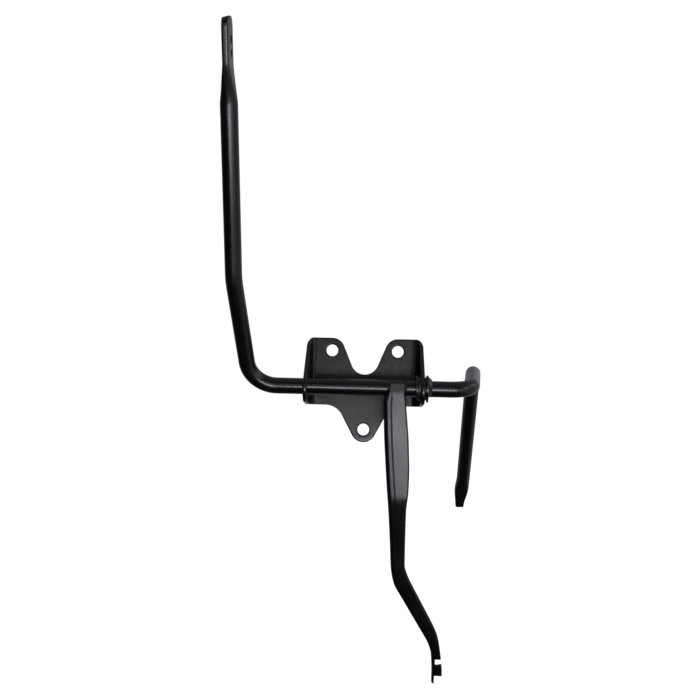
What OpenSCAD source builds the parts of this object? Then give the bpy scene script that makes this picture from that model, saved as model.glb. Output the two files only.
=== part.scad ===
// Pivoting crank lever on a three-hole bracket, in millimetres.
// +Z is up, +X runs along the pivot shaft, and +Y points from the bracket into the panel
// that it is bolted to. The origin is midway between the two upper bolt holes, on the
// bracket's back face.

/* [Bracket] */
// Thickness of the bracket's sheet steel
sheet_t = 2.5; // [2:0.1:3]
// Width over the outer faces of the two ears
bracket_w = 75; // [70:0.5:90]
// Distance between the two upper bolt holes
hole_spacing = 42.5; // [38:0.5:44]
// Drop from the upper bolt holes to the lower one
lower_hole_drop = 50.7; // [48:0.1:56]
// Diameter of the three bolt holes
hole_d = 7.6; // [5.5:0.1:8.5]
// Radius of the rounded corner round each bolt hole
lobe_r = 8.2; // [7.5:0.1:9]
// Inside radius of the two folds
fold_r = 5; // [4:0.5:6]

/* [Pivot] */
// Diameter of the bent bar, which is also the pivot shaft
bar_d = 10; // [9:0.1:10.5]
// Height of the shaft's centre line below the upper bolt holes
shaft_drop = 24; // [23:0.5:25]
// Distance of the shaft's centre line in front of the bracket's back face
shaft_out = 25.5; // [24:0.5:27]
// Outside diameter of the two bushes
bush_d = 12; // [11.6:0.1:12.4]
// Gap between the shaft and a bush, on the radius
running_gap = 0.08; // [0.05:0.01:0.1]
// Diameter of the two retaining rings
ring_d = 16.8; // [15:0.1:18]

/* [Bar] */
// Radius of the bar's two rear bends, at its centre line
bend_r = 15; // [12:0.5:16]
// Radius of the bend between the shaft and the upper lever, at its centre line
left_bend_r = 18; // [14:0.5:20]
// Thickness of the flattened upper end
tab_t = 4.3; // [3:0.1:5]
// Width of the flattened upper end
tab_w = 15.5; // [14:0.5:17]
// Thickness of the flattened lower end
spade_t = 5; // [4:0.1:6]

/* [Arm] */
// Thickness of the arm's sheet steel
arm_t = 2; // [1.6:0.1:2.2]
// Depth of the arm's side walls below the shaft
arm_depth = 9; // [8:0.5:11]
// Height of the cable notch near the arm's tip
notch_h = 4; // [3:0.1:5]

/* [Hidden] */
$fn = 64;
EPS = 0.01;
LAP = 0.05;
SHY = 0.02;
BLACK = "#1c1c1e";
NYLON = "#26262a";
ZINC = "#2b2b2e";

// ---- Vectors and frames ----
function unit(v) = v / norm(v);
function dir2(a) = [cos(a), sin(a)];
// Rigid frame at p whose local z runs along axis and whose local x is nearest to side
function frame(p, axis, side) =
    let (z = unit(axis), x = unit(side - z * (side * z)), y = cross(z, x))
    [[x[0], y[0], z[0], p[0]], [x[1], y[1], z[1], p[1]], [x[2], y[2], z[2], p[2]], [0, 0, 0, 1]];

// Puts its children on the pivot's own axes: origin on the shaft, at the bracket's middle
module at_shaft() { translate([0, -shaft_out, -shaft_drop]) children(); }

// Cylinder along +X from x0 to x1
module x_rod(x0, x1, d) { translate([x0, 0, 0]) rotate([0, 90, 0]) cylinder(h = x1 - x0, d = d); }

// Ring along +X from x0 to x1
module x_ring(x0, x1, d, bore) {
    difference() {
        x_rod(x0, x1, d);
        x_rod(x0 - 1, x1 + 1, bore);
    }
}

// ---- Bracket ----
half_w = bracket_w / 2;
hole_x = hole_spacing / 2;
fold_out = fold_r + sheet_t;
flat_x = half_w - fold_out;
top_z = lobe_r;
low_z = -shaft_drop - 11.3;
valley_r = 9;
valley_z = -6.2;
lower_fillet_r = 12;
corner_r = 4.5;
ear_top_z = top_z - corner_r - 0.1;
nose_r = 8.9;
nose_z = -shaft_drop - 1.2;

// Angle of the upper lobe's side, which touches the lobe and the valley between the lobes
valley_gap = [hole_x, valley_z];
upper_a = atan2(valley_gap[1], valley_gap[0]) + acos((lobe_r + valley_r) / norm(valley_gap));
// Angle of the lower lobe's side from vertical, and where that side meets the lower edge
lower_a = 28;
lobe_touch = [0, -lower_hole_drop] + lobe_r * [cos(lower_a), -sin(lower_a)];
lower_corner_x = lobe_touch[0] + (low_z - lobe_touch[1]) * tan(lower_a);
fillet_reach = lower_fillet_r * tan((90 - lower_a) / 2);
fillet_x = lower_corner_x + fillet_reach;

// One half of the base plate's outline, for x of 0 and more
module half_plate_outline() {
    lobe_side = [hole_x, 0] + lobe_r * [-cos(upper_a), sin(upper_a)];
    valley_side = [0, valley_z] + (valley_r - SHY) * [cos(upper_a), -sin(upper_a)];
    fillet_low = [lower_corner_x, low_z] - fillet_reach * [sin(lower_a), cos(lower_a)];
    difference() {
        union() {
            polygon([[0, valley_side[1]], valley_side, lobe_side, [hole_x, top_z], [flat_x, top_z],
                     [flat_x, low_z], [fillet_x, low_z], fillet_low, lobe_touch, [0, -lower_hole_drop]]);
            translate([hole_x, 0]) circle(r = lobe_r);
            translate([0, -lower_hole_drop]) circle(r = lobe_r);
        }
        translate([0, valley_z]) circle(r = valley_r);
        translate([fillet_x, low_z - lower_fillet_r]) circle(r = lower_fillet_r);
    }
}

// Side view of an ear: y across, z up
module ear_outline() {
    edge_from_nose = [shaft_out - fold_out, ear_top_z - nose_z];
    touch_a = atan2(edge_from_nose[1], edge_from_nose[0]) + acos(nose_r / norm(edge_from_nose));
    slant_touch = [-shaft_out, nose_z] + (nose_r - SHY) * dir2(touch_a);
    polygon([[-fold_out, low_z], [-fold_out, ear_top_z], slant_touch,
             [-shaft_out, nose_z], [-shaft_out, nose_z - nose_r]]);
    translate([-shaft_out, nose_z]) circle(r = nose_r);
}

// One folded side: the fold and its ear, for x of 0 and more
module folded_side() {
    translate([flat_x, -fold_out, low_z]) difference() {
        cylinder(h = top_z - low_z, r = fold_out);
        translate([0, 0, -1]) cylinder(h = top_z - low_z + 2, r = fold_r);
        translate([-2 * fold_out, -2 * fold_out, -1]) cube([2 * fold_out, 4 * fold_out, top_z - low_z + 2]);
        translate([-1, -2 * fold_out, -1]) cube([2 * fold_out, 2 * fold_out, top_z - low_z + 2]);
    }
    translate([half_w - sheet_t, 0, 0]) rotate([90, 0, 90]) linear_extrude(height = sheet_t) ear_outline();
}

// Waste outside the rounded upper corner of a folded side
module corner_waste() {
    translate([half_w - corner_r, 10, top_z - corner_r]) rotate([90, 0, 0]) difference() {
        translate([0, 0, -10]) cube([corner_r + 10, corner_r + 10, shaft_out + 40]);
        translate([0, 0, -11]) cylinder(h = shaft_out + 42, r = corner_r);
    }
}

module half_bracket() {
    difference() {
        union() {
            rotate([90, 0, 0]) linear_extrude(height = sheet_t) half_plate_outline();
            folded_side();
        }
        corner_waste();
    }
}

module mounting_bracket() {
    color(BLACK) difference() {
        union() {
            half_bracket();
            mirror([1, 0, 0]) half_bracket();
        }
        for (p = [[-hole_x, 0], [hole_x, 0], [0, -lower_hole_drop]])
            translate([p[0], 5, p[1]]) rotate([90, 0, 0]) cylinder(h = sheet_t + 10, d = hole_d);
        at_shaft() x_rod(-half_w - 1, half_w + 1, bush_d);
    }
}

// ---- Bent bar, on the pivot's own axes ----
UPPER_END = [-77.05, -87.5, 194.8];
UPPER_KINK = [-76.9, -37.5, 60];
LEFT_CORNER = [-70.5, 0, 0];
RIGHT_CORNER = [66.5, 0, 0];
HOOK = [74.1, 57, 13.6];
LOWER_END = [77.8, 156.2, -89.2];
ROUTE = [UPPER_END, UPPER_KINK, LEFT_CORNER, RIGHT_CORNER, HOOK, LOWER_END];
BEND_RADII = [0, 40, left_bend_r, bend_r, bend_r, 0];
up_dir = unit(UPPER_END - UPPER_KINK);
down_dir = unit(LOWER_END - HOOK);
// Lengths of the upper tab's flat and of its blend into the round bar
tab_flat = 25;
tab_blend = 20;
// The tab's two holes: distance from the end, diameter
TAB_HOLES = [[12, 4.5], [19, 3.8]];
// Way the upper tab's inner face looks: a little forward of straight across
TAB_SIDE = [1, -0.02, 0];
// Corners of the upper tab's end, and how much the end falls away towards the outer face
tab_corner = 5.5;
tab_slant = 0.25;
// Left and right edges of the lower end, from its tip to where the round bar starts: across, along
SPADE_LEFT = [[-3.3, 0], [-4.3, 0.9], [-4.7, 6], [-5.4, 12], [-5.9, 17.5], [-5.4, 24], [-4.1, 33]];
SPADE_RIGHT = [[1.4, 0], [2.2, 0.9], [2.5, 6], [3.5, 12], [4.3, 17.5], [4.6, 24], [4.1, 33]];
spade_length = 33;
// Where the lower end starts to thicken, and its left and right edges there
spade_thin = 10;
SPADE_THIN_EDGES = [-5.2, 3.1];
groove_d = 8.8;

function leg(i) = unit(ROUTE[i + 1] - ROUTE[i]);
function turn(i) = acos(leg(i - 1) * leg(i));
function reach(i) = i == 0 ? tab_flat + tab_blend
                  : i == len(ROUTE) - 1 ? spade_length
                  : BEND_RADII[i] * tan(turn(i) / 2);

// Straight stretch from route point i to the next, running a hair into the shapes at its ends
module straight(i) {
    start = ROUTE[i] + leg(i) * (reach(i) - LAP);
    length = norm(ROUTE[i + 1] - ROUTE[i]) - reach(i) - reach(i + 1) + 2 * LAP;
    multmatrix(frame(start, leg(i), [0.3, 1, 0.1])) cylinder(h = length, d = bar_d);
}

// Bend at route point i, a hair thinner than the straights that lap it
module bend(i) {
    inward = unit(leg(i) - leg(i - 1) * (leg(i) * leg(i - 1)));
    start = ROUTE[i] - leg(i - 1) * reach(i);
    centre = start + inward * BEND_RADII[i];
    multmatrix(frame(centre, cross(-inward, leg(i - 1)), -inward))
        rotate_extrude(angle = turn(i)) translate([BEND_RADII[i], 0]) circle(d = bar_d - SHY);
}

// Flattened upper end: local z runs back down the bar from the very end
module upper_tab() {
    multmatrix(frame(UPPER_END, -up_dir, TAB_SIDE)) {
        difference() {
            translate([-tab_t / 2, 0, 0]) rotate([90, 0, 90]) linear_extrude(height = tab_t) {
                hull()
                    for (side = [-1, 1])
                        translate([side * (tab_w / 2 - tab_corner), tab_corner]) circle(r = tab_corner);
                translate([-tab_w / 2, tab_corner]) square([tab_w, tab_flat - tab_corner]);
            }
            rotate([90, 0, 0]) translate([0, 0, -tab_w]) linear_extrude(height = 2 * tab_w)
                polygon([for (x = [-tab_t, tab_t]) [x, tab_slant * (tab_t / 2 - x)],
                         [tab_t, -tab_t], [-tab_t, -tab_t]]);
            for (h = TAB_HOLES)
                translate([-tab_t, 0, h[0]]) rotate([0, 90, 0]) cylinder(h = 2 * tab_t, d = h[1]);
        }
        hull() {
            translate([-tab_t / 2, -tab_w / 2, tab_flat]) cube([tab_t, tab_w, EPS]);
            translate([0, 0, tab_flat + tab_blend]) cylinder(h = 2 * LAP, d = bar_d - SHY, $fn = 24);
        }
    }
}

// Flattened lower end, drawn in to a short tongue: local z runs back up the bar from the end
module lower_spade() {
    thin_w = SPADE_THIN_EDGES[1] - SPADE_THIN_EDGES[0];
    thin_t = spade_t - 0.2;
    multmatrix(frame(LOWER_END, -down_dir, [1, 0, 0])) {
        translate([0, spade_t / 2, 0]) rotate([90, 0, 0]) linear_extrude(height = spade_t)
            polygon(concat(SPADE_RIGHT, [for (i = [len(SPADE_LEFT) - 1:-1:0]) SPADE_LEFT[i]]));
        hull() {
            translate([SPADE_THIN_EDGES[0], -thin_t / 2, spade_thin]) cube([thin_w, thin_t, EPS]);
            translate([0, 0, spade_length]) cylinder(h = 2 * LAP, d = bar_d - SHY, $fn = 24);
        }
    }
}

module crank_rod() {
    color(BLACK) at_shaft() {
        difference() {
            union() {
                for (i = [0 : len(ROUTE) - 2]) straight(i);
                for (i = [1 : len(ROUTE) - 2]) bend(i);
            }
            x_ring(inner_ring_x, inner_ring_x + ring_t, bar_d + 2, groove_d);
            x_ring(clip_x, clip_x + ring_t, bar_d + 2, groove_d);
        }
        upper_tab();
        lower_spade();
    }
}

// ---- Pivot hardware, on the pivot's own axes ----
bush_flange_d = 14.4;
bush_flange_t = 1.8;
washer_t = 0.8;
ring_t = 1.2;
end_play = 0.15;
clip_cone = 2.2;
clip_turn = 40;
ear_in = half_w - sheet_t;
inner_ring_x = ear_in - bush_flange_t - end_play - ring_t;
washer_x = half_w + 0.02;
clip_x = washer_x + washer_t + end_play;
bush_bore = bar_d + 2 * running_gap;

module left_bushing() { color(NYLON) at_shaft() x_ring(-half_w, -ear_in, bush_d, bush_bore); }

module right_bushing() {
    color(NYLON) at_shaft() difference() {
        union() {
            x_rod(ear_in, half_w, bush_d);
            x_rod(ear_in - bush_flange_t, ear_in, bush_flange_d);
        }
        x_rod(ear_in - bush_flange_t - 1, half_w + 1, bush_bore);
    }
}

module thrust_washer() {
    color(ZINC) at_shaft() x_ring(washer_x, washer_x + washer_t, bush_flange_d, bush_bore);
}

// Side view of an E-shaped ring that snaps into a groove, open at the bottom
module e_ring_outline() {
    lug_w = 3.4;
    relief_d = bar_d + 1.6;
    mouth_a = 38;
    difference() {
        circle(d = ring_d);
        circle(d = relief_d);
        polygon([[0, 0], 20 * dir2(-90 - mouth_a), 20 * dir2(-90), 20 * dir2(-90 + mouth_a)]);
    }
    difference() {
        for (a = [90, 205, 335]) rotate(a) translate([0, -lug_w / 2])
            square([relief_d / 2 + 0.6, lug_w]);
        circle(d = groove_d);
    }
}

// E-ring across the shaft, with its flat faces from x to x + ring_t and its mouth turned toward the back
module e_ring(x, turned) {
    translate([x, 0, 0]) rotate([90, 0, 90]) rotate(turned) linear_extrude(height = ring_t) e_ring_outline();
}

module inner_retaining_ring() { color(ZINC) at_shaft() e_ring(inner_ring_x, 0); }

// E-ring with a dished back that slopes down to the upper side of the shaft
module outer_retaining_clip() {
    dish_r = ring_d / 2 - 0.6;
    neck_r = bar_d / 2 + 0.9;
    shell = 0.9;
    cone_from = 68;
    cone_span = 202;
    color(ZINC) at_shaft() {
        e_ring(clip_x, clip_turn);
        translate([clip_x + ring_t, 0, 0]) rotate([0, 90, 0]) rotate([0, 0, cone_from + clip_turn])
            rotate_extrude(angle = cone_span)
                polygon([[dish_r, 0], [neck_r, clip_cone], [neck_r - shell, clip_cone],
                         [neck_r - shell, clip_cone - 0.3], [dish_r - 1.6, 0]]);
    }
}

// ---- Pressed arm, on the pivot's own axes ----
// Each station: left edge x and z, right edge x and z, depth of the left and right walls
arm_knee_z = -69;
upper_lean = 5;
lower_lean = 20.5;
seat_depth = 0.1;
arm_front = seat_depth - bar_d / 2 - arm_t;
STATIONS = [
    [12.4, -2, 26, -2, arm_depth, arm_depth],
    [12.4, -8, 26, -8, arm_depth, arm_depth],
    [13.2, -31, 28.2, -31, arm_depth, arm_depth],
    [14.6, -50.3, 29.1, -50.3, arm_depth, arm_depth],
    [15.7, -64, 28.9, -64, arm_depth, arm_depth],
    [16.7, -74, 27.8, -74, arm_depth - 0.5, arm_depth - 0.5],
    [18.2, -93.4, 27.9, -93.4, arm_depth - 1, arm_depth - 1],
    [19.5, -115, 28.2, -112.5, arm_depth - 1, arm_depth - 1],
    [21.6, -124.5, 30.8, -119.8, arm_depth - 1, arm_depth - 1],
    [27.3, -134, 35.5, -128.7, arm_depth - 1, arm_depth - 2],
    [40.1, -155.7, 47.7, -151.2, arm_depth - 2, arm_depth - 4],
    [44.8, -163.5, 51.3, -159, arm_depth - 2, 4.5],
    [47.5, -171, 53.1, -168.3, arm_depth - 2.5, 3.4],
    [48.4, -181.6, 55, -181.6, arm_depth - 3, 3.2],
    [48.7, -192.8, 55.6, -192.8, arm_depth - 3, 3.2]
];
ARC_STEPS = 4;
inner_r = 1;

function arm_y(z) = arm_front + max(0, min(-z, -arm_knee_z) - 3) * tan(upper_lean)
                    + max(0, arm_knee_z - z) * tan(lower_lean);
function arc(c, r, a0, a1) = [for (i = [0 : ARC_STEPS]) c + r * dir2(a0 + (a1 - a0) * i / ARC_STEPS)];
// Channel section: width w, wall depths dl and dr, open at the back
function section(w, dl, dr) =
    let (r = min(3.5, w * 0.36), rr = 1.5, t = arm_t, c = t + inner_r)
    concat([[0, dl]], arc([r, r], r, 180, 270), arc([w - rr, rr], rr, 270, 360), [[w, dr], [w - t, dr]],
           arc([w - c, c], inner_r, 360, 270), arc([c, c], inner_r, 270, 180), [[t, dl]]);
function station_ring(s) =
    let (left = [s[0], s[1]], right = [s[2], s[3]], w = norm(right - left))
    [for (q = section(w, s[4], s[5])) let (p = left + (right - left) * q[0] / w) [p[0], arm_y(p[1]) + q[1], p[1]]];

// Skin through the stations. Each end is closed by a strip that follows the channel's wall.
function end_strip(base, n, flip) =
    [for (i = [0 : n / 2 - 2])
        let (a = base + i, b = a + 1, c = base + n - 2 - i, d = c + 1)
        each (flip ? [[b, a, d], [b, d, c]] : [[a, b, d], [b, c, d]])];
module channel_skin() {
    rings = [for (s = STATIONS) station_ring(s)];
    n = len(rings[0]);
    last = (len(rings) - 1) * n;
    sides = [for (k = [0 : len(rings) - 2], i = [0 : n - 1])
        let (a = k * n + i, b = k * n + (i + 1) % n) each [[a, b, a + n], [b, b + n, a + n]]];
    polyhedron(points = [for (r = rings) each r],
               faces = concat(end_strip(0, n, true), sides, end_strip(last, n, false)));
}

// Tab at the arm's top that lies on the front of the shaft
tab_x0 = 15.4;
tab_x1 = 25.4;
tab_top = 2.8;

module channel_arm() {
    notch_top = -175.4;
    notch_x = 50.1;
    web_end = -187.2;
    color(BLACK) at_shaft() difference() {
        union() {
            channel_skin();
            translate([tab_x0, arm_front, -6]) cube([tab_x1 - tab_x0, arm_t, tab_top + 6]);
        }
        x_rod(0, 40, bar_d);
        translate([notch_x, 0, notch_top - notch_h]) cube([20, 80, notch_h]);
        translate([notch_x, 0, web_end - 20]) cube([20, 80, 20]);
    }
}

// Fillet weld round the front of the shaft, standing on the plane x = 0 and growing toward +X
module side_bead() {
    bead = 1.8;
    rotate([0, 90, 0]) rotate([0, 0, -107]) rotate_extrude(angle = 33)
        polygon([[bar_d / 2, 0], [bar_d / 2 + bead, 0], [bar_d / 2 + 0.7 * bead, 0.7 * bead], [bar_d / 2, bead]]);
}

// Welds along the two sides and the top of the arm's tab
module arm_weld_beads() {
    color(BLACK) at_shaft() {
        translate([tab_x1, 0, 0]) side_bead();
        translate([tab_x0, 0, 0]) mirror([1, 0, 0]) side_bead();
        difference() {
            translate([tab_x0, 0, 0]) rotate([90, 0, 90]) linear_extrude(height = tab_x1 - tab_x0)
                polygon([[-6.4, tab_top], [-6.1, tab_top + 0.9], [-5, tab_top + 1.6], [-3, tab_top + 1.9], [-3, tab_top]]);
            x_rod(0, 40, bar_d);
        }
    }
}

mounting_bracket();
crank_rod();
channel_arm();
arm_weld_beads();
left_bushing();
right_bushing();
thrust_washer();
inner_retaining_ring();
outer_retaining_clip();
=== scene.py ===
"""Looks of a crank lever on a folded bracket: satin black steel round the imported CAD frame.

Lengths are in millimetres until a mesh is made, then metres. Points on the crank are written
from the pivot's axis, and SHAFT carries them into the row's frame.
"""

import math
from contextlib import contextmanager

import bmesh
import bpy
from mathutils import Matrix, Vector
from mathutils.geometry import delaunay_2d_cdt


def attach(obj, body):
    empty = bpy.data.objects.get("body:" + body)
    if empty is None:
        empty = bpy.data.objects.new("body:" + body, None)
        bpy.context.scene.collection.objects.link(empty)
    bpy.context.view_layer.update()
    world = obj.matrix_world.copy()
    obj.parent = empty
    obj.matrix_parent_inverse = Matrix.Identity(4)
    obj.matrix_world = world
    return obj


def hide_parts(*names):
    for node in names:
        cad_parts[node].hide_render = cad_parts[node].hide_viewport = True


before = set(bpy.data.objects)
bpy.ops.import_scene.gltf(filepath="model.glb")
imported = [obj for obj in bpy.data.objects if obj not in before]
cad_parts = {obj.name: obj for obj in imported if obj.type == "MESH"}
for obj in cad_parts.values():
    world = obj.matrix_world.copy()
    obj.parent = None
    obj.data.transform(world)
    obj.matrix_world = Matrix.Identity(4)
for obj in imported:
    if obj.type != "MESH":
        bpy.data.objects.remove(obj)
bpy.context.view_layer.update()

MM = 0.001
ORIGIN = Vector((0, 0, 0))
SHAFT_OUT, SHAFT_DROP = 25.5, 24.0
SHAFT = Vector((0, -SHAFT_OUT, -SHAFT_DROP))
BAR_R = 5.0
SMOOTH_DEG = 38
HOLE_STEPS = 48
TINY = 1e-6


# ---------------------------------------------------------------- numbers and directions
def lerp(a, b, t):
    return a + (b - a) * t


def ease(t):
    """Smooth rise from 0 to 1, level at both ends."""
    t = min(max(t, 0.0), 1.0)
    return t * t * (3 - 2 * t)


def ramp_ease(t, softness):
    """A straight ramp from 0 to 1 whose two ends are softened."""
    t = min(max(t, 0.0), 1.0)
    return lerp(t, ease(t), softness)


def along(table, s):
    """Straight-line reading of a table of (s, value)."""
    for (s0, v0), (s1, v1) in zip(table, table[1:]):
        if s <= s1:
            return lerp(v0, v1, max(s - s0, 0) / (s1 - s0))
    return table[-1][1]


def square_to(way, axis):
    """The part of a direction that stands square to the axis, at length 1."""
    return (way - axis * way.dot(axis)).normalized()


def arc(cx, cy, r, a0, a1, steps):
    """Points on a circle from angle a0 to a1, in degrees."""
    out = []
    for i in range(steps + 1):
        a = math.radians(lerp(a0, a1, i / steps))
        out.append((cx + r * math.cos(a), cy + r * math.sin(a)))
    return out


def ring_round(centre, side, other, r, steps):
    """Points on a circle in space, in the plane of side and other."""
    turns = [2 * math.pi * i / steps for i in range(steps)]
    return [centre + (side * math.cos(a) + other * math.sin(a)) * r for a in turns]


# ---------------------------------------------------------------- meshes
@contextmanager
def editing(mesh):
    """A bmesh of the mesh, written back at the end."""
    bm = bmesh.new()
    bm.from_mesh(mesh)
    yield bm
    bm.to_mesh(mesh)
    bm.free()


def add_object(name, data):
    thing = bpy.data.objects.new(name, data)
    bpy.context.scene.collection.objects.link(thing)
    return thing


def mesh_from(name, verts, faces, at):
    """A mesh in metres from points in millimetres."""
    mesh = bpy.data.meshes.new(name)
    mesh.from_pydata([(Vector(v) + at) * MM for v in verts], [], faces)
    return mesh


def mark_sharp(mesh, limit=SMOOTH_DEG):
    """Smooth faces, with edges over the limit kept sharp."""
    with editing(mesh) as bm:
        for f in bm.faces:
            f.smooth = True
        for e in bm.edges:
            e.smooth = len(e.link_faces) == 2 and e.calc_face_angle(0) < math.radians(limit)


def finish_piece(name, mesh, material, body, nodes):
    """An outward-facing, coated object of the mesh, riding on a body in place of CAD nodes."""
    with editing(mesh) as bm:
        bmesh.ops.remove_doubles(bm, verts=bm.verts, dist=1e-7)
        bmesh.ops.recalc_face_normals(bm, faces=bm.faces)
    mark_sharp(mesh)
    mesh.materials.clear()
    mesh.materials.append(material)
    piece = add_object(name, mesh)
    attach(piece, body)
    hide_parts(*nodes)
    return piece


def make_piece(name, verts, faces, material, body, nodes, at=ORIGIN):
    """A finished piece from points in millimetres."""
    return finish_piece(name, mesh_from(name, verts, faces, at), material, body, nodes)


def bake_modifiers(piece):
    """Swaps the piece's mesh for the one its modifiers make."""
    depsgraph = bpy.context.evaluated_depsgraph_get()
    mesh = bpy.data.meshes.new_from_object(piece.evaluated_get(depsgraph))
    piece.modifiers.clear()
    piece.data = mesh
    mark_sharp(mesh)


def even_normals(piece):
    """Lets the large flat faces set the shading beside their rounded edges."""
    weighted = piece.modifiers.new("flat_faces_stay_flat", "WEIGHTED_NORMAL")
    weighted.keep_sharp = True
    weighted.weight = 60


def round_edges(piece, width, segments, angle):
    """Rounds the edges sharper than angle by width millimetres and evens out the shading."""
    bevel = piece.modifiers.new("rounded_edges", "BEVEL")
    bevel.width = width * MM
    bevel.segments = segments
    bevel.limit_method = "ANGLE"
    bevel.angle_limit = math.radians(angle)
    bake_modifiers(piece)
    even_normals(piece)


def cutter_object(verts, faces, at):
    """A closed solid to cut with. It is removed when it has been used."""
    mesh = mesh_from("cutter", verts, faces, at)
    with editing(mesh) as bm:
        bmesh.ops.recalc_face_normals(bm, faces=bm.faces)
    return add_object("cutter", mesh)


def cut_away(piece, cutters):
    """Cuts the cutters out of the piece and removes them."""
    for cutter in cutters:
        cut = piece.modifiers.new("cut", "BOOLEAN")
        cut.operation = "DIFFERENCE"
        cut.solver = "EXACT"
        cut.object = cutter
    bake_modifiers(piece)
    for cutter in cutters:
        bpy.data.objects.remove(cutter)


def skin(rings):
    """Vertices and faces of a closed tube through rings of equally many points."""
    n = len(rings[0])
    verts = [p for ring in rings for p in ring]
    faces = []
    for k in range(len(rings) - 1):
        for i in range(n):
            j = (i + 1) % n
            faces.append((k * n + i, k * n + j, (k + 1) * n + j, (k + 1) * n + i))
    faces.append(tuple(range(n)))
    faces.append(tuple(range((len(rings) - 1) * n, len(rings) * n)))
    return verts, faces


# ---------------------------------------------------------------- materials
class Nodes:
    """Short way to write a node tree."""

    def __init__(self, tree):
        self.tree = tree
        self.place = self.add("ShaderNodeTexCoord")

    def add(self, kind, **values):
        node = self.tree.nodes.new(kind)
        for key, value in values.items():
            if hasattr(node, key):
                setattr(node, key, value)
            else:
                node.inputs[key.replace("_", " ")].default_value = value
        return node

    def link(self, out, into):
        self.tree.links.new(out, into)

    def noise(self, size_mm, detail, rough):
        noise = self.add("ShaderNodeTexNoise", Scale=1 / (size_mm * MM), Detail=detail, Roughness=rough)
        self.link(self.place.outputs["Object"], noise.inputs["Vector"])
        return noise.outputs["Fac"]

    def spread(self, value, low, high, out_low, out_high, shape="LINEAR"):
        """The value moved from the range low to high onto the range out_low to out_high."""
        spread = self.add("ShaderNodeMapRange", interpolation_type=shape,
                          From_Min=low, From_Max=high, To_Min=out_low, To_Max=out_high)
        self.link(value, spread.inputs["Value"])
        return spread.outputs["Result"]

    def math(self, operation, a, b):
        node = self.add("ShaderNodeMath", operation=operation)
        for socket, value in zip(node.inputs, (a, b)):
            if isinstance(value, (int, float)):
                socket.default_value = value
            else:
                self.link(value, socket)
        return node.outputs[0]

    def blend_colour(self, share, low, high):
        mix = self.add("ShaderNodeMix", data_type="RGBA")
        self.link(share, mix.inputs["Factor"])
        for key, colour in (("A", low), ("B", high)):
            socket = [s for s in mix.inputs if s.name == key and s.type == "RGBA"][0]
            if isinstance(colour, tuple):
                socket.default_value = (*colour, 1)
            else:
                self.link(colour, socket)
        return [s for s in mix.outputs if s.type == "RGBA"][0]

    def bump(self, height, depth_mm, strength, under=None):
        bump = self.add("ShaderNodeBump", Strength=strength, Distance=depth_mm * MM)
        self.link(height, bump.inputs["Height"])
        if under is not None:
            self.link(under, bump.inputs["Normal"])
        return bump.outputs["Normal"]

    def edge_share(self, radius_mm, low, high):
        """0 on flats, rising to 1 where the surface turns sharply within the radius."""
        bevel = self.add("ShaderNodeBevel", samples=6, Radius=radius_mm * MM)
        geometry = self.add("ShaderNodeNewGeometry")
        turned = self.add("ShaderNodeVectorMath", operation="DOT_PRODUCT")
        self.link(bevel.outputs["Normal"], turned.inputs[0])
        self.link(geometry.outputs["Normal"], turned.inputs[1])
        return self.spread(turned.outputs["Value"], high, low, 1.0, 0.0)


# Sizes of the coat's patterns: uneven tone, speckle, dust, and patches of wear along the edges
TONE_MM, SPECKLE_MM, DUST_MM, PATCH_MM = 22, 0.35, 0.9, 3.5
# How strongly dust shows, and how much brighter than the pale tone dust and worn edges are
DUST_SHARE, DUST_LIFT, EDGE_LIFT = 0.35, 3.2, 5.5
PEEL_DEPTH_MM, GRAIN_DEPTH_MM = 0.04, 0.03
EDGE_MM = 0.5
COAT_IOR = 1.52
DEEP = (0.0013, 0.0013, 0.0016)
PALE = (0.0030, 0.0030, 0.0034)
RING_PALE = (0.008, 0.008, 0.009)
BUSH_PALE = (0.009, 0.009, 0.0095)


def brighter(colour, times):
    return tuple(times * c for c in colour)


def black_coat(name, roughness, deep=DEEP, pale=PALE, shine=0.5, peel_mm=1.6, peel=0.25,
               grain_mm=0.8, grain=0.3, worn=0.35):
    """Electrocoat on steel: black, satin, with a faint orange peel, fine dust and thinner edges."""
    material = bpy.data.materials.new(name)
    material.use_nodes = True
    shader = material.node_tree.nodes["Principled BSDF"]
    n = Nodes(material.node_tree)
    broad = n.noise(TONE_MM, 2.0, 0.55)
    fine = n.noise(SPECKLE_MM, 4.0, 0.7)
    dust = n.spread(n.noise(DUST_MM, 5.0, 0.75), 0.62, 0.78, 0.0, 0.5)
    tone = n.blend_colour(n.spread(broad, 0.35, 0.65, 0.0, 1.0), deep, pale)
    tone = n.blend_colour(n.math("MULTIPLY", dust, DUST_SHARE), tone, brighter(pale, DUST_LIFT))
    edges = n.math("MULTIPLY", n.edge_share(EDGE_MM, 0.995, 0.86), worn)
    patches = n.spread(n.noise(PATCH_MM, 4.0, 0.7), 0.4, 0.62, 0.15, 1.0)
    edges = n.math("MULTIPLY", edges, patches)
    tone = n.blend_colour(edges, tone, brighter(pale, EDGE_LIFT))
    n.link(tone, shader.inputs["Base Color"])
    uneven = n.spread(broad, 0.3, 0.7, roughness - 0.03, roughness + 0.04)
    speckle = n.spread(fine, 0.3, 0.7, -0.025, 0.025)
    n.link(n.math("ADD", uneven, speckle), shader.inputs["Roughness"])
    shader.inputs["IOR"].default_value = COAT_IOR
    shader.inputs["Specular IOR Level"].default_value = shine
    normal = n.bump(n.noise(peel_mm, 2.0, 0.5), PEEL_DEPTH_MM, peel)
    normal = n.bump(n.noise(grain_mm, 3.0, 0.6), GRAIN_DEPTH_MM, grain, under=normal)
    n.link(normal, shader.inputs["Normal"])
    return material


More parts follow.
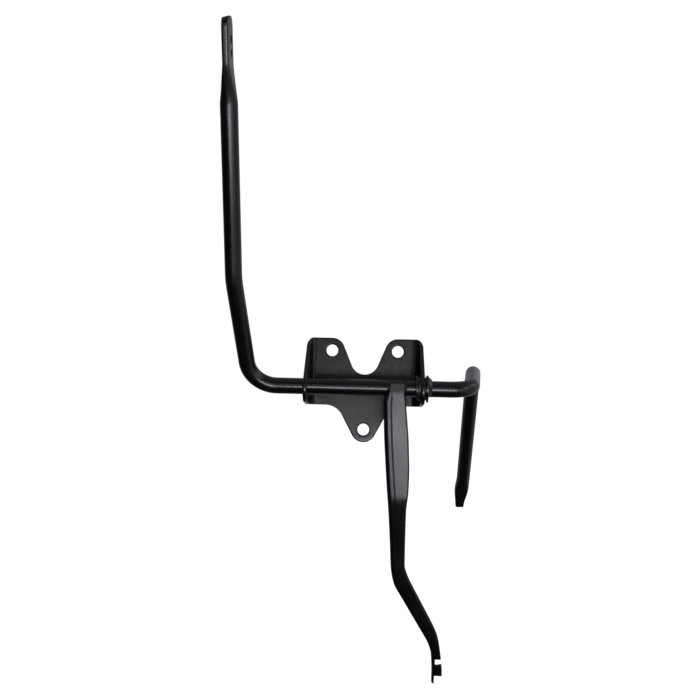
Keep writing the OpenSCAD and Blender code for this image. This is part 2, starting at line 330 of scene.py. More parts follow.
bracket_coat = black_coat("bracket_coat", 0.26, shine=0.46, peel=0.1, grain=0.35)
bar_coat = black_coat("bar_coat", 0.26, peel_mm=2.2, peel=0.025, grain_mm=0.5, grain=0.06, worn=0.2)
arm_coat = black_coat("arm_coat", 0.31, shine=0.38, peel=0.15, grain=0.45)
weld_coat = black_coat("weld_coat", 0.38, peel_mm=0.8, peel=0.5)
ring_coat = black_coat("ring_coat", 0.3, pale=RING_PALE, peel_mm=0.9, peel=0.2, grain=0.1, worn=0.5)
bush_black = black_coat("bush_black", 0.46, PALE, BUSH_PALE, peel_mm=0.7, peel=0.3, worn=0.1)


# ---------------------------------------------------------------- bent bar
# Corners of the bar's centre line from its upper end, and the bend's radius at each
ROUTE = [Vector(p) for p in (
    (-77.05, -87.5, 194.8), (-76.9, -37.5, 60), (-70.5, 0, 0),
    (66.5, 0, 0), (74.1, 57, 13.6), (77.8, 156.2, -89.2),
)]
BEND_R = (0, 40, 18, 15, 15, 0)
STRAIGHT_STEP, BEND_STEP_DEG = 3.0, 2.5
OUTLINE_STEPS = 72
# The upper tab and the lower tongue: thickness, how far it is kept, and the blend to round.
# The tab's width is TAB_W, and the tongue's comes from its two edges below
TAB_T, TAB_FLAT, TAB_BLEND, TAB_W = 4.3, 25.0, 20.0, 15.5
SPADE_T, SPADE_FLAT, SPADE_BLEND = 5.0, 10.0, 23.0
# How square their sections are, how soft the blends start, and how the rims of their ends round.
# The tab turns round TAB_ROUND_FASTER times faster than it thickens
TAB_SQUARE, TAB_SOFT, TAB_RIM, TAB_ROUND_FASTER = 5, 0.45, 0.5, 1.15
SPADE_SQUARE, SPADE_SOFT, SPADE_RIM = 6, 0.3, 0.7
# Each hole's distance from the tab's end, and its diameter
TAB_HOLES = ((12, 4.5), (19, 3.8))
# How far a hole's rims are eased, and how far its cutter stands out
HOLE_FLARE, OVERSHOOT = 0.25, 2
# Way the upper tab's inner face looks, a little forward of straight across
TAB_SIDE = Vector((1, -0.02, 0))
# Radius of the tab's corners, and slope of its end through its thickness, gone at SLANT_REACH
TAB_CORNER, TAB_SLANT, SLANT_REACH = 5.5, 0.25, 10
# Left and right edges of the tongue against the distance from the bar's lower end
SPADE_LEFT = ((0, -3.3), (0.9, -4.3), (6, -4.7), (12, -5.4), (17.5, -5.9), (24, -5.6), (33, -5))
SPADE_RIGHT = ((0, 1.4), (0.9, 2.2), (6, 2.5), (12, 3.5), (17.5, 4.3), (24, 4.8), (33, 5))
# Sections stand closer than STRAIGHT_STEP within these distances of the two ends
FINE_UP, FINE_LOW = 48, 36
RIM_UP = (0.0, 0.08, 0.2, 0.4, 0.7, 1.1, 1.6, 2.2, 3.0, 3.9, 4.9, 6.0, 7.0)
RIM_LOW = (0.0, 0.08, 0.25, 0.5, 0.8, 1.0, 1.5)
# The section turns from the tab's way to the tongue's between these distances from the two ends
TWIST_UP, TWIST_LOW = 50, 40


def straight(a, b):
    """Points and directions along a straight stretch."""
    count = max(int((b - a).length / STRAIGHT_STEP), 1)
    d = (b - a).normalized()
    return [(a.lerp(b, i / count), d) for i in range(count + 1)]


def bar_route():
    """Points and directions along the bar's centre line, from the upper end."""
    legs = [(b - a).normalized() for a, b in zip(ROUTE, ROUTE[1:])]
    out = []
    start = ROUTE[0]
    for i in range(1, len(ROUTE) - 1):
        d0, d1 = legs[i - 1], legs[i]
        turn = d0.angle(d1)
        reach = BEND_R[i] * math.tan(turn / 2)
        a = ROUTE[i] - d0 * reach
        out += straight(start, a)
        axis = d0.cross(d1).normalized()
        centre = a + axis.cross(d0) * BEND_R[i]
        count = max(int(math.degrees(turn) / BEND_STEP_DEG), 4)
        for k in range(1, count):
            spin = Matrix.Rotation(turn * k / count, 3, axis)
            out.append((centre + spin @ (a - centre), spin @ d0))
        start = ROUTE[i] + d1 * reach
    return out + straight(start, ROUTE[-1])


def refine_ends(route):
    """Closer points near the two shaped ends, so that their outlines are smooth."""
    (top, down), (tip, on) = route[0], route[-1]
    ups = [(top + down * s, down) for s in (*RIM_UP, *range(8, FINE_UP))]
    lows = [(tip - on * s, on) for s in (*RIM_LOW, *range(2, FINE_LOW))]
    middle = [(p, d) for p, d in route
              if (p - top).length > FINE_UP - 0.5 and (p - tip).length > FINE_LOW - 0.5]
    return ups + middle + lows[::-1]


def squared(power, a, b):
    """Superellipse with half sizes a and b: power 2 is round, more is squarer."""
    out = []
    for i in range(OUTLINE_STEPS):
        t = 2 * math.pi * (i + 0.5) / OUTLINE_STEPS
        c, s = math.cos(t), math.sin(t)
        x = a * math.copysign(abs(c) ** (2 / power), c)
        y = b * math.copysign(abs(s) ** (2 / power), s)
        out.append((x, y))
    return out


def rim_inset(distance, r):
    """How far a rim rounded by r pulls in at a distance from the end."""
    return r * (1 - math.sqrt(1 - (1 - min(distance / r, 1)) ** 2))


def tab_section(up):
    t = ramp_ease((up - TAB_FLAT) / TAB_BLEND, TAB_SOFT)
    half_w = TAB_W / 2
    if up < TAB_CORNER:
        half_w += math.sqrt(TAB_CORNER ** 2 - (TAB_CORNER - up) ** 2) - TAB_CORNER
    half_t = TAB_T / 2 - rim_inset(up, TAB_RIM)
    power = lerp(TAB_SQUARE, 2, ease(t * TAB_ROUND_FASTER))
    return squared(power, lerp(half_t, BAR_R, t), lerp(half_w, BAR_R, t)), 0


def spade_section(low):
    t = ramp_ease((low - SPADE_FLAT) / SPADE_BLEND, SPADE_SOFT)
    left, right = along(SPADE_LEFT, low), along(SPADE_RIGHT, low)
    half_t = SPADE_T / 2 - rim_inset(low, SPADE_RIM)
    power = lerp(SPADE_SQUARE, 2, ease(t))
    return squared(power, (right - left) / 2, lerp(half_t, BAR_R, t)), (left + right) / 2


def bar_section(up, low):
    """The bar's outline and its shift sideways. Up and low are the distances from its two ends."""
    if up < TAB_FLAT + TAB_BLEND:
        return tab_section(up)
    if low < SPADE_FLAT + SPADE_BLEND:
        return spade_section(low)
    return squared(2, BAR_R, BAR_R), 0


def carried_sides(route):
    """A direction square to the bar at each point, carried from the tab without twisting."""
    sides = []
    side = square_to(TAB_SIDE, route[0][1])
    for _, d in route:
        side = square_to(side, d)
        sides.append(side)
    return sides


def distances(points):
    """How far each point is from the first, measured along the line."""
    travelled = [0.0]
    for a, b in zip(points, points[1:]):
        travelled.append(travelled[-1] + (b - a).length)
    return travelled


def bar_rings():
    """The bar's sections in place, from the tab to the tongue."""
    route = refine_ends(bar_route())
    sides = carried_sides(route)
    travelled = distances([p for p, _ in route])
    total = travelled[-1]
    d = route[-1][1]
    wanted = square_to(Vector((1, 0, 0)), d)
    twist = math.atan2(sides[-1].cross(wanted).dot(d), sides[-1].dot(wanted))
    rings = []
    for (p, d), side, s in zip(route, sides, travelled):
        share = min(max((s - TWIST_UP) / (total - TWIST_UP - TWIST_LOW), 0), 1)
        side = Matrix.Rotation(twist * share, 3, d) @ side
        other = d.cross(side)
        outline, shift = bar_section(s, total - s)
        slant = TAB_SLANT * (1 - ease(s / SLANT_REACH))
        rings.append([p + side * (x + shift) + other * y + d * slant * (TAB_T / 2 - x)
                      for x, y in outline])
    return rings


def tab_hole_cutter(centre, axis, side, r):
    """Cutter for a hole through the tab whose two rims are eased."""
    half = TAB_T / 2
    wide = r + HOLE_FLARE + OVERSHOOT
    profile = ((-half - OVERSHOOT, wide), (HOLE_FLARE - half, r),
               (half - HOLE_FLARE, r), (half + OVERSHOOT, wide))
    other = axis.cross(side)
    rings = [ring_round(centre + axis * h, side, other, radius, HOLE_STEPS) for h, radius in profile]
    verts, faces = skin(rings)
    return cutter_object(verts, faces, SHAFT)


def build_bar():
    verts, faces = skin(bar_rings())
    bar = make_piece("bent_bar", verts, faces, bar_coat, "crank", ["crank_rod"], SHAFT)
    up = (ROUTE[0] - ROUTE[1]).normalized()
    across = square_to(TAB_SIDE, up)
    cut_away(bar, [tab_hole_cutter(ROUTE[0] - up * s, across, up, d / 2) for s, d in TAB_HOLES])
    even_normals(bar)


build_bar()


# ---------------------------------------------------------------- folded bracket
# The sheet is drawn flat, as (u, z) with u across it from its middle, and then folded
SHEET_T, BRACKET_W, FOLD_R = 2.5, 75.0, 5.0
# Bolt holes: two at u = HOLE_X and -HOLE_X, and one LOWER_DROP below them in the middle
HOLE_X, LOWER_DROP, HOLE_R = 21.25, 50.7, 3.8
# Radii of the lobes, of the valley between the upper two, and of the fillets above the lower one
LOBE_R, VALLEY_R, LOWER_FILLET = 8.2, 9.0, 12.0
# Heights of the valley's centre and of the ears' lower edge
VALLEY_Z, LOW_Z = -6.2, -35.3
# How far the lower lobe's sides lean, in degrees
LOWER_LEAN_DEG = 28.0
# The ear: its round nose at the shaft, how far its sloping edge starts below the lobes' tops,
# and the radius of the corner above that
NOSE_R, NOSE_Z, EAR_TOP_DROP, CORNER_SOFT = 8.9, -25.2, 4.6, 5.0
BUSH_R = 6.0
FOLD_OUT = FOLD_R + SHEET_T
FLAT_X = BRACKET_W / 2 - FOLD_OUT
FOLD_MID = FOLD_OUT - SHEET_T / 2
FOLD_LEN = FOLD_MID * math.pi / 2
EAR_U = FLAT_X + FOLD_LEN
NOSE_U = EAR_U + SHAFT_OUT - FOLD_OUT
FOLD_STEPS = 18
COLUMNS = [FLAT_X + FOLD_LEN * i / FOLD_STEPS for i in range(FOLD_STEPS + 1)]
EDGE_R, EDGE_STEPS = 0.9, 4
SAME_POINT = 1e-4
# Triangles nearer a hole's centre than this share of its radius are the hole
IN_HOLE = 0.98
# The holes of the blank: u, z and radius. Three bolt holes, then the right and the left ear's
BLANK_HOLES = (
    (-HOLE_X, 0, HOLE_R), (HOLE_X, 0, HOLE_R), (0, -LOWER_DROP, HOLE_R),
    (NOSE_U, -SHAFT_DROP, BUSH_R), (-NOSE_U, -SHAFT_DROP, BUSH_R),
)


def round_corner(a, b, c, r, steps):
    """Arc of radius r in the corner a-b-c."""
    a, b, c = Vector(a), Vector(b), Vector(c)
    da, dc = (a - b).normalized(), (c - b).normalized()
    half = da.angle(dc) / 2
    centre = b + (da + dc).normalized() * (r / math.sin(half))
    p, q = b + da * (r / math.tan(half)), b + dc * (r / math.tan(half))
    a0 = math.atan2(p.y - centre.y, p.x - centre.x)
    a1 = math.atan2(q.y - centre.y, q.x - centre.x)
    turn = (a1 - a0 + math.pi) % (2 * math.pi) - math.pi
    turns = [a0 + turn * i / steps for i in range(steps + 1)]
    return [tuple(centre + r * Vector((math.cos(a), math.sin(a)))) for a in turns]


def blank_half():
    """Right half of the flat blank's edge, from the valley down to the lower lobe."""
    gap = math.hypot(HOLE_X, VALLEY_Z)
    upper_a = math.degrees(math.atan2(VALLEY_Z, HOLE_X) + math.acos((LOBE_R + VALLEY_R) / gap))
    nose = Vector((NOSE_U, NOSE_Z))
    ear_top = Vector((EAR_U, LOBE_R - EAR_TOP_DROP))
    back = ear_top - nose
    touch = math.atan2(back.y, back.x) - math.acos(NOSE_R / back.length)
    touch_p = nose + NOSE_R * Vector((math.cos(touch), math.sin(touch)))
    slope = (ear_top - touch_p).normalized()
    meet = ear_top + slope * ((LOBE_R - ear_top.y) / slope.y)
    points = arc(0, VALLEY_Z, VALLEY_R, -90, -upper_a, 16)
    points += arc(HOLE_X, 0, LOBE_R, 180 - upper_a, 90, 18)
    points += round_corner((HOLE_X, LOBE_R), meet, touch_p, CORNER_SOFT, 10)
    points += arc(NOSE_U, NOSE_Z, NOSE_R, math.degrees(touch), -90, 30)
    points.append((EAR_U, LOW_Z))
    lean = math.radians(LOWER_LEAN_DEG)
    corner_x = LOBE_R * math.cos(lean)
    corner_x += (LOW_Z + LOWER_DROP + LOBE_R * math.sin(lean)) * math.tan(lean)
    reach = LOWER_FILLET * math.tan(math.radians(90 - LOWER_LEAN_DEG) / 2)
    points += arc(corner_x + reach, LOW_Z - LOWER_FILLET, LOWER_FILLET, 90, 180 - LOWER_LEAN_DEG, 14)
    points += arc(0, -LOWER_DROP, LOBE_R, -LOWER_LEAN_DEG, -90, 18)
    return points


def with_columns(points):
    """Puts the edge's points in the fold exactly on the fold's columns."""
    out = []
    for p, q in zip(points, points[1:] + [None]):
        if not COLUMNS[0] + TINY < p[0] < COLUMNS[-1] - TINY:
            out.append(p)
        if q is None:
            break
        low, high = min(p[0], q[0]), max(p[0], q[0])
        crossed = [u for u in COLUMNS if low + TINY < u < high - TINY]
        if q[0] < p[0]:
            crossed.reverse()
        for u in crossed:
            t = (u - p[0]) / (q[0] - p[0])
            out.append((u, lerp(p[1], q[1], t)))
    return out


def tidy_loop(points):
    """The points without those that repeat the one before."""
    out = []
    for p in points:
        if not out or math.dist(p, out[-1]) > SAME_POINT:
            out.append(p)
    if math.dist(out[0], out[-1]) < SAME_POINT:
        out.pop()
    return out


def inset_loop(loop, distance):
    """The loop moved sideways, toward its left for a positive distance."""
    if distance == 0:
        return loop
    out = []
    n = len(loop)
    for i in range(n):
        p, a, b = Vector(loop[i]), Vector(loop[i - 1]), Vector(loop[(i + 1) % n])
        d0, d1 = (p - a).normalized(), (b - p).normalized()
        n0, n1 = Vector((-d0.y, d0.x)), Vector((-d1.y, d1.x))
        m = (n0 + n1).normalized()
        out.append(tuple(p + m * (distance / max(m.dot(n0), 0.5))))
    return out


def fold(u, w, z):
    """Where the point at (u, z) of the flat blank, w in from its back, goes when it is folded."""
    side = 1 if u >= 0 else -1
    u = abs(u)
    r = FOLD_OUT - w
    if u <= FLAT_X:
        return Vector((side * u, -w, z))
    if u <= EAR_U:
        a = (u - FLAT_X) / FOLD_MID
        return Vector((side * (FLAT_X + r * math.sin(a)), -FOLD_OUT + r * math.cos(a), z))
    return Vector((side * (FLAT_X + r), -FOLD_OUT - (u - EAR_U), z))


def edge_layers():
    """(inset, depth) of each layer from the back face to the front, with rounded edges."""
    quarter = []
    for i in range(EDGE_STEPS + 1):
        a = math.pi / 2 * i / EDGE_STEPS
        quarter.append((EDGE_R * (1 - math.sin(a)), EDGE_R * (1 - math.cos(a))))
    return quarter + [(inset, SHEET_T - depth) for inset, depth in reversed(quarter)]


def blank_rings():
    """The blank's edge and its holes, each with the sign that insets it into the sheet."""
    half = tidy_loop(with_columns(blank_half()))
    loop = half + [(-u, z) for u, z in reversed(half[1:-1])]
    area = sum(a[0] * b[1] - b[0] * a[1] for a, b in zip(loop, loop[1:] + loop[:1]))
    holes = [arc(u, z, r, 0, 360, HOLE_STEPS)[:-1] for u, z, r in BLANK_HOLES]
    return [(loop, 1 if area > 0 else -1)] + [(hole, -1) for hole in holes]


def middle_of(points):
    return sum(points, Vector((0, 0))) / len(points)


def fill_region(loop_ids, hole_ids, flat):
    """Triangles that fill a flat region with holes, as ids into the list of flat points."""
    ids, edges = [], []
    for ring in [loop_ids] + hole_ids:
        start, n = len(ids), len(ring)
        edges += [(start + i, start + (i + 1) % n) for i in range(n)]
        ids += ring
    points = [Vector(flat[i]) for i in ids]
    inside_only = 1
    made, _, faces, origins, _, _ = delaunay_2d_cdt(points, edges, [], inside_only, TINY)
    holes = []
    for ring in hole_ids:
        rim = [Vector(flat[i]) for i in ring]
        centre = middle_of(rim)
        holes.append((centre, IN_HOLE * (rim[0] - centre).length))
    out = []
    for f in faces:
        middle = middle_of([made[i] for i in f])
        if all((middle - centre).length > r for centre, r in holes):
            out.append(tuple(ids[origins[i][0]] for i in f))
    return out


def edge_faces(rings, starts, layer_count, per_layer):
    """Faces round the sheet's edge and inside its holes, from layer to layer."""
    faces = []
    for k in range(layer_count - 1):
        low, high = k * per_layer, (k + 1) * per_layer
        for (ring, _), start in zip(rings, starts):
            n = len(ring)
            for i in range(n):
                a, b = start + i, start + (i + 1) % n
                faces.append((low + a, low + b, high + b, high + a))
    return faces


def face_regions(loop, hole_ids, flat):
    """Faces of one side of the sheet: the plate, the ears, and a strip for each step of a fold."""
    outline = range(len(loop))
    regions = fill_region([i for i in outline if abs(loop[i][0]) <= FLAT_X + TINY], hole_ids[:3], flat)
    for side, ear_hole in ((1, hole_ids[3]), (-1, hole_ids[4])):
        ear = [i for i in outline if side * loop[i][0] >= EAR_U - TINY]
        regions += fill_region(ear, [ear_hole], flat)
    for side in (1, -1):
        columns = []
        for u in COLUMNS:
            column = [i for i in outline if abs(side * loop[i][0] - u) < TINY]
            columns.append(sorted(column, key=lambda i: loop[i][1]))
        regions += [(near[0], far[0], far[-1], near[-1]) for near, far in zip(columns, columns[1:])]
    return regions


def build_bracket():
    rings = blank_rings()
    layers = edge_layers()
    verts, starts, per_layer, inner = [], [], 0, []
    for ring, sign in rings:
        starts.append(per_layer)
        per_layer += len(ring)
        inner += inset_loop(ring, sign * EDGE_R)
    for inset, depth in layers:
        for ring, sign in rings:
            verts += [fold(u, depth, z) for u, z in inset_loop(ring, sign * inset)]
    hole_ids = [list(range(start, start + HOLE_STEPS)) for start in starts[1:]]
    regions = face_regions(rings[0][0], hole_ids, inner)
    front = (len(layers) - 1) * per_layer
    faces = edge_faces(rings, starts, len(layers), per_layer) + regions
    faces += [tuple(front + i for i in reversed(f)) for f in regions]
    bracket = make_piece("folded_bracket", verts, faces, bracket_coat,
                         "bracket", ["mounting_bracket"])
    even_normals(bracket)


build_bracket()


# ---------------------------------------------------------------- pressed arm
ARM_T, ARM_FRONT, KNEE_Z = 2.0, -6.9, -69.0
# How far the arm leans back going down, in degrees, above and below its knee, and where it starts
UPPER_LEAN, LOWER_LEAN = 5.0, 20.5
LEAN_FROM = 3
# Left edge x and z, right edge x and z, depth of the left and right walls, share of the pressed step
STATIONS = [
    (15.4, 2.8, 25.4, 2.8, 2.01, 2.01, 0.0),
    (15.4, -1.2, 25.4, -1.2, 2.01, 2.01, 0.0),
    (14.4, -3.4, 25.6, -3.4, 4.0, 4.0, 0.4),
    (12.5, -6.6, 25.9, -6.6, 8.0, 8.0, 1.0),
    (12.3, -10, 26.1, -10, 9, 9, 1.0),
    (13.2, -31, 28.2, -31, 9, 9, 1.0),
    (14.6, -50.3, 29.1, -50.3, 9, 9, 1.0),
    (15.7, -64, 28.9, -64, 9, 9, 1.0),
    (16.7, -74, 27.8, -74, 8.5, 8.5, 0.8),
    (18.2, -93.4, 27.9, -93.4, 8, 8, 0.7),
    (19.5, -115, 28.2, -112.5, 8, 8, 0.6),
    (21.6, -124.5, 30.8, -119.8, 8, 8, 0.6),
    (27.3, -134, 35.5, -128.7, 8, 7, 0.6),
    (40.1, -155.7, 47.7, -151.2, 7, 5, 0.6),
    (44.8, -163.5, 51.3, -159, 7, 4.5, 0.4),
    (47.5, -171, 53.1, -168.3, 6.5, 3.4, 0.0),
    (48.4, -181.6, 55, -181.6, 6, 3.2, 0.0),
    (48.7, -192.8, 55.6, -192.8, 6, 3.2, 0.0),
]
ROW_STEP = 0.6
# Rows averaged to each side when the corners are softened: few in the tongue on the shaft
SOFT_PASSES, SOFT_ROWS, TONGUE_ROWS, TONGUE_Z = 2, 4, 1, -12
# Outer bends at the left and right walls, how much the step sharpens the right one, inner bends
LEFT_BEND, RIGHT_BEND, RIGHT_SHARPER, INNER_BEND = 2.7, 2.2, 0.9, 1.0
# A bend takes at most these shares of the channel's width and depth, and at least this radius
BEND_OF_WIDTH, BEND_OF_DEPTH, LEAST_BEND = 0.3, 0.42, 0.02
# The pressed step: how far the strip on the left is sunk, its width and the width of the rise
STRIP_SUNK, STRIP_W, RISE_W, RISE_STEPS = 0.22, 0.9, 1.9, 6
# The cable notch in the right edge, and the cut that shortens the right side below it
CUT_X, NOTCH_LOW, NOTCH_HIGH, END_HIGH = 50.1, -179.4, -175.4, -187.2
CUT_RIGHT, CUT_BACK, CUT_LOW = 70, 80, -210


def lean_y(z):
    """Where the front of the arm is at a height."""
    y = ARM_FRONT + max(0.0, min(-z, -KNEE_Z) - LEAN_FROM) * math.tan(math.radians(UPPER_LEAN))
    return y + max(0.0, KNEE_Z - z) * math.tan(math.radians(LOWER_LEAN))


def arm_rows():
    """The stations read every ROW_STEP millimetres, with their corners softened."""
    rows = []
    for a, b in zip(STATIONS, STATIONS[1:]):
        middle_a, middle_b = [((s[0] + s[2]) / 2, (s[1] + s[3]) / 2) for s in (a, b)]
        count = max(round(math.dist(middle_a, middle_b) / ROW_STEP), 1)
        rows += [[lerp(x, y, i / count) for x, y in zip(a, b)] for i in range(count)]
    rows.append(list(STATIONS[-1]))
    for row in rows:
        row += [lean_y(row[1]), lean_y(row[3])]
    for _ in range(SOFT_PASSES):
        smooth = []
        for k, row in enumerate(rows):
            most = TONGUE_ROWS if row[1] > TONGUE_Z else SOFT_ROWS
            reach = min(most, k, len(rows) - 1 - k)
            near = rows[k - reach:k + reach + 1]
            smooth.append([sum(r[j] for r in near) / len(near) for j in range(len(row))])
        rows = smooth
    return rows


def arm_section(w, deep_l, deep_r, step):
    """Outline of the channel: across, back. The web stands a little proud of the strip on its left."""
    r_l = min(LEFT_BEND, w * BEND_OF_WIDTH, deep_l * BEND_OF_DEPTH)
    r_r = min(RIGHT_BEND - RIGHT_SHARPER * step, w * BEND_OF_WIDTH, deep_r * BEND_OF_DEPTH)
    low = STRIP_SUNK * step
    points = [(0, deep_l)]
    points += [(x, y + low) for x, y in arc(r_l, r_l, r_l, 180, 270, 9)]
    for k in range(1, RISE_STEPS + 1):
        t = k / RISE_STEPS
        points.append((r_l + (STRIP_W + RISE_W * t) * step, low * (1 - ease(t))))
    points += arc(w - r_r, r_r, r_r, 270, 360, 9)
    points += [(w, deep_r), (w - ARM_T, deep_r)]
    in_r = min(INNER_BEND, max(deep_r - ARM_T, LEAST_BEND), max(deep_l - ARM_T, LEAST_BEND))
    c = ARM_T + in_r
    points += arc(w - c, c, in_r, 360, 270, 5)
    points += arc(c, c, in_r, 270, 180, 5)
    points.append((ARM_T, deep_l))
    return points


def arm_ring(row):
    """The channel's outline placed at one row."""
    lx, lz, rx, rz, deep_l, deep_r, step, ly, ry = row
    left, right = Vector((lx, lz)), Vector((rx, rz))
    w = (right - left).length
    ring = []
    for across, back in arm_section(w, deep_l, deep_r, step):
        t = across / w
        p = left.lerp(right, t)
        ring.append(Vector((p.x, lerp(ly, ry, t) + back, p.y)))
    return ring


def side_cut(low_z, high_z):
    """Cutter through the arm, for everything right of CUT_X between two heights."""
    corners = [(x, y, z) for x in (CUT_X, CUT_RIGHT) for y in (0, CUT_BACK) for z in (low_z, high_z)]
    faces = [(0, 1, 3, 2), (4, 6, 7, 5), (0, 4, 5, 1), (2, 3, 7, 6), (0, 2, 6, 4), (1, 5, 7, 3)]
    return cutter_object(corners, faces, SHAFT)


def build_arm():
    verts, faces = skin([arm_ring(row) for row in arm_rows()])
    arm = make_piece("pressed_arm", verts, faces, arm_coat, "crank", ["channel_arm"], SHAFT)
    cut_away(arm, [side_cut(NOTCH_LOW, NOTCH_HIGH), side_cut(CUT_LOW, END_HIGH)])
    round_edges(arm, 0.35, 2, 50)


build_arm()


# ---------------------------------------------------------------- weld round the arm's tongue
WELD_LEFT, WELD_RIGHT, WELD_TOP, WELD_LOW = 15.0, 25.8, 3.9, -1.8
WELD_CORNER, WELD_STEP = 1.0, 0.4
# Radius of the bead, how far its middle is off the shaft, and how it thins out at its two ends
BEAD_R, BEAD_OUT, BEAD_FADE, BEAD_TIP_R = 0.78, 0.15, 0.8, 0.05
RIPPLE_MM, RIPPLE_DEPTH = 0.95, 0.13
# Parts that each step of the bead's path is split into, and about how long each is
SPLITS, SPLIT_MM = 3, 0.135
BEAD_SIDES = 20


def weld_path():
    """Up the tongue's left edge, over its top and down its right edge, on the shaft."""
    left, right, corner_z = WELD_LEFT + WELD_CORNER, WELD_RIGHT - WELD_CORNER, WELD_TOP - WELD_CORNER
    heights = [WELD_LOW + WELD_STEP * i for i in range(12)]
    flat = [(WELD_LEFT, z) for z in heights]
    flat += arc(left, corner_z, WELD_CORNER, 180, 90, 5)[1:]
    flat += [(left + WELD_STEP * i, WELD_TOP) for i in range(1, 22)]
    flat += arc(right, corner_z, WELD_CORNER, 90, 0, 5)[1:]
    flat += [(WELD_RIGHT, z) for z in reversed(heights)]
    return [Vector((x, -math.sqrt(BAR_R ** 2 - z * z) - BEAD_OUT, z)) for x, z in flat]


def split_finely(path):
    fine = []
    for a, b in zip(path, path[1:]):
        fine += [a.lerp(b, k / SPLITS) for k in range(SPLITS)]
    return fine + [path[-1]]


def bead_radius(s, to_end):
    """The rippled bead's radius, s along it and to_end before its end."""
    ripple = abs((s / RIPPLE_MM) % 1 - 0.5) * 2
    fade = math.sqrt(min(min(s, to_end) / BEAD_FADE, 1))
    return BEAD_R * fade * (1 - RIPPLE_DEPTH * ripple * ripple) + BEAD_TIP_R


def build_weld():
    path = split_finely(weld_path())
    travelled = distances(path)
    last = len(path) - 1
    side = Vector((1, 0, 0))
    rings = []
    for k, (p, s) in enumerate(zip(path, travelled)):
        d = (path[min(k + 1, last)] - path[max(k - 1, 0)]).normalized()
        side = square_to(side, d)
        r = bead_radius(s, (last - k) * SPLIT_MM)
        rings.append(ring_round(p, side, d.cross(side), r, BEAD_SIDES))
    verts, faces = skin(rings)
    make_piece("arm_weld", verts, faces, weld_coat, "crank", ["arm_weld_beads"], SHAFT)


build_weld()


# ---------------------------------------------------------------- pivot hardware
# CAD node, piece, material, body, slot, and how far the edges are rounded
HARDWARE = (
    ("left_bushing", "left_bush", bush_black, "bracket", "bush_nylon", 0.2),
    ("right_bushing", "right_flanged_bush", bush_black, "bracket", "bush_nylon", 0.25),
    ("thrust_washer", "outer_washer", ring_coat, "bracket", "ring_steel", 0.18),
    ("inner_retaining_ring", "inner_ring", ring_coat, "crank", "ring_steel", 0.22),
    ("outer_retaining_clip", "outer_clip", ring_coat, "crank", "ring_steel", 0.2),
)


def build_hardware():
    """The CAD's own rings and bushes, with clean flat faces and rounded edges."""
    for node, name, material, body, slot, width in HARDWARE:
        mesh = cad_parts[node].data.copy()
        mesh.name = name
        with editing(mesh) as bm:
            bmesh.ops.remove_doubles(bm, verts=bm.verts, dist=2e-6)
            bmesh.ops.dissolve_limit(bm, angle_limit=math.radians(1), verts=bm.verts, edges=bm.edges)
        piece = finish_piece(name, mesh, material, body, [node])
        round_edges(piece, width, 3, 40)


build_hardware()


# ---------------------------------------------------------------- studio, in metres
CAMERA_AT = Vector((0.00392, -0.55233, -0.0316))
CAMERA_AIM = Vector((-0.00984, 0.0, 0.00057))
CAMERA_ROLL_DEG = 1.4
CAMERA_LENS = 43.71
LIGHT_TINT = (1.0, 0.98, 1.07)
PANEL_AIM, PANEL_DISTANCE = Vector((0, 0, -0.03)), 4
# Name, azimuth and elevation in degrees, width and height, and power in watts.
# Azimuth 0 is in front of the object, and turns toward its right.
PANELS = (
    ("key", 9.5, -13.4, 2.35, 0.92, 73),
    ("right_fill", 41, -12, 2.3, 1.2, 9),
    ("front_fill", 2, 13, 2.9, 1.1, 8),
    ("side_right", 63, 14, 0.55, 1.4, 9),
    ("side_left", -41, 14, 0.5, 1.4, 6),
    ("right_soft", 100, 28, 2.2, 1.4, 8),
    ("left_soft", -100, 28, 2.2, 1.4, 11),
    ("rear_right", 152, 15, 2.2, 1.4, 2),
    ("rear_left", -152, 15, 2.2, 1.4, 3),
)
BACKDROP_STRENGTH = 1.02
# Dim light from all round, and lobes of more: axis, where each starts and is full, its strength
GLOW = 0.02
GLOW_LOBES = (("X", 0.35, 0.95, 0.3), ("Z", 0.45, 1.0, 0.22), ("Y", 0.3, 0.9, 0.26))
FLOOR_HALF, FLOOR_Z = 9.0, -0.34


def add_camera():
    data = bpy.data.cameras.new("camera")
    data.lens = CAMERA_LENS
    data.sensor_width = 36
    data.clip_start = 0.02
    data.clip_end = 50
    camera = add_object("camera", data)
    level = (CAMERA_AIM - CAMERA_AT).to_track_quat("-Z", "Y").to_matrix()
    roll = Matrix.Rotation(math.radians(CAMERA_ROLL_DEG), 3, "Z")
    camera.matrix_world = Matrix.Translation(CAMERA_AT) @ (level @ roll).to_4x4()
    bpy.context.scene.camera = camera


def add_panel(name, azimuth, elevation, width, height, power):
    """A soft panel aimed at the object."""
    data = bpy.data.lights.new(name, "AREA")
    data.shape = "RECTANGLE"
    data.size, data.size_y = width, height
    data.energy = power
    data.color = LIGHT_TINT
    a, e = math.radians(azimuth), math.radians(elevation)
    back = Vector((math.sin(a) * math.cos(e), -math.cos(a) * math.cos(e), math.sin(e)))
    turned = back.to_track_quat("Z", "Y").to_matrix().to_4x4()
    panel = add_object(name, data)
    panel.matrix_world = Matrix.Translation(PANEL_AIM + back * PANEL_DISTANCE) @ turned


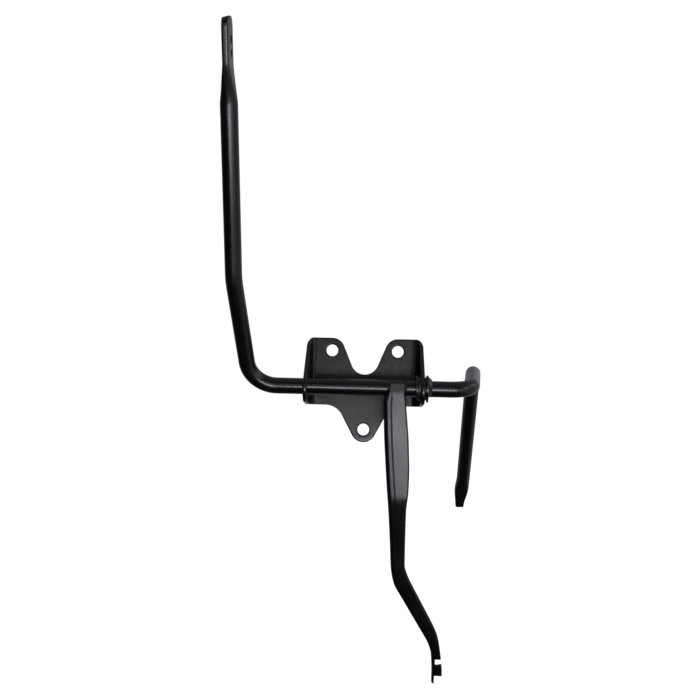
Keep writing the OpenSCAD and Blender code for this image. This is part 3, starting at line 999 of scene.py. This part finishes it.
def add_world():
    """White behind the object, and dim uneven light for reflections."""
    world = bpy.data.worlds.new("studio")
    bpy.context.scene.world = world
    world.use_nodes = True
    world.node_tree.nodes.clear()
    n = Nodes(world.node_tree)
    way = n.add("ShaderNodeSeparateXYZ")
    n.link(n.place.outputs["Generated"], way.inputs[0])
    strength = GLOW
    for axis, low, high, amount in GLOW_LOBES:
        lobe = n.spread(way.outputs[axis], low, high, 0.0, amount, "SMOOTHSTEP")
        strength = n.math("ADD", lobe, strength)
    glow = n.add("ShaderNodeBackground", Color=(*LIGHT_TINT, 1))
    n.link(strength, glow.inputs["Strength"])
    seen = n.add("ShaderNodeBackground", Color=(1, 1, 1, 1), Strength=BACKDROP_STRENGTH)
    mix = n.add("ShaderNodeMixShader")
    n.link(n.add("ShaderNodeLightPath").outputs["Is Camera Ray"], mix.inputs["Fac"])
    n.link(glow.outputs[0], mix.inputs[1])
    n.link(seen.outputs[0], mix.inputs[2])
    n.link(mix.outputs[0], n.add("ShaderNodeOutputWorld").inputs["Surface"])


def add_floor():
    """Pale floor well below the object, which it doesn't light."""
    sides = ((-1, -1), (1, -1), (1, 1), (-1, 1))
    corners = [(x * FLOOR_HALF, y * FLOOR_HALF, FLOOR_Z) for x, y in sides]
    mesh = bpy.data.meshes.new("floor")
    mesh.from_pydata(corners, [], [(0, 1, 2, 3)])
    floor = add_object("floor", mesh)
    material = bpy.data.materials.new("floor_white")
    material.use_nodes = True
    shader = material.node_tree.nodes["Principled BSDF"]
    shader.inputs["Base Color"].default_value = (0.85, 0.85, 0.85, 1)
    shader.inputs["Roughness"].default_value = 0.9
    shader.inputs["Specular IOR Level"].default_value = 0.0
    shader.inputs["Emission Color"].default_value = (1, 1, 1, 1)
    shader.inputs["Emission Strength"].default_value = 0.9
    mesh.materials.append(material)
    floor.visible_glossy = False
    floor.visible_diffuse = False
    floor.visible_shadow = False


add_camera()
add_world()
add_floor()
for panel in PANELS:
    add_panel(*panel)
bpy.context.scene.view_settings.view_transform = "Standard"
